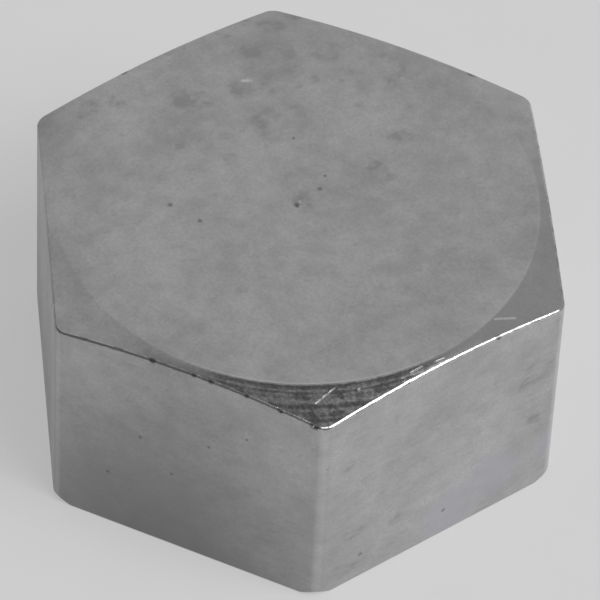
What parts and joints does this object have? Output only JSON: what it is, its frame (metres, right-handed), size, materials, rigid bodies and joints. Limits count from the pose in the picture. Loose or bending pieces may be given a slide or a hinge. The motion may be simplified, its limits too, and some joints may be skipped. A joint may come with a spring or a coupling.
{
  "type": "pipe end cap",
  "caption": "Hexagonal end cap with a blind threaded mouth: screws onto a male pipe end and closes it.",
  "frame": {"origin": "centre of the mouth rim, which the cap stands on", "axes": "+Z along the thread's axis towards the closed end, +X through the middle of a flat, +Y through a corner"},
  "size_m": [0.025, 0.0286, 0.0132],
  "materials": {
    "plated_brass": "dull nickel-grey plating over brass, water stained, pitted and lightly scratched"
  },
  "bodies": {
    "root": {"hex_cap": "plated_brass"}
  },
  "joints": []
}
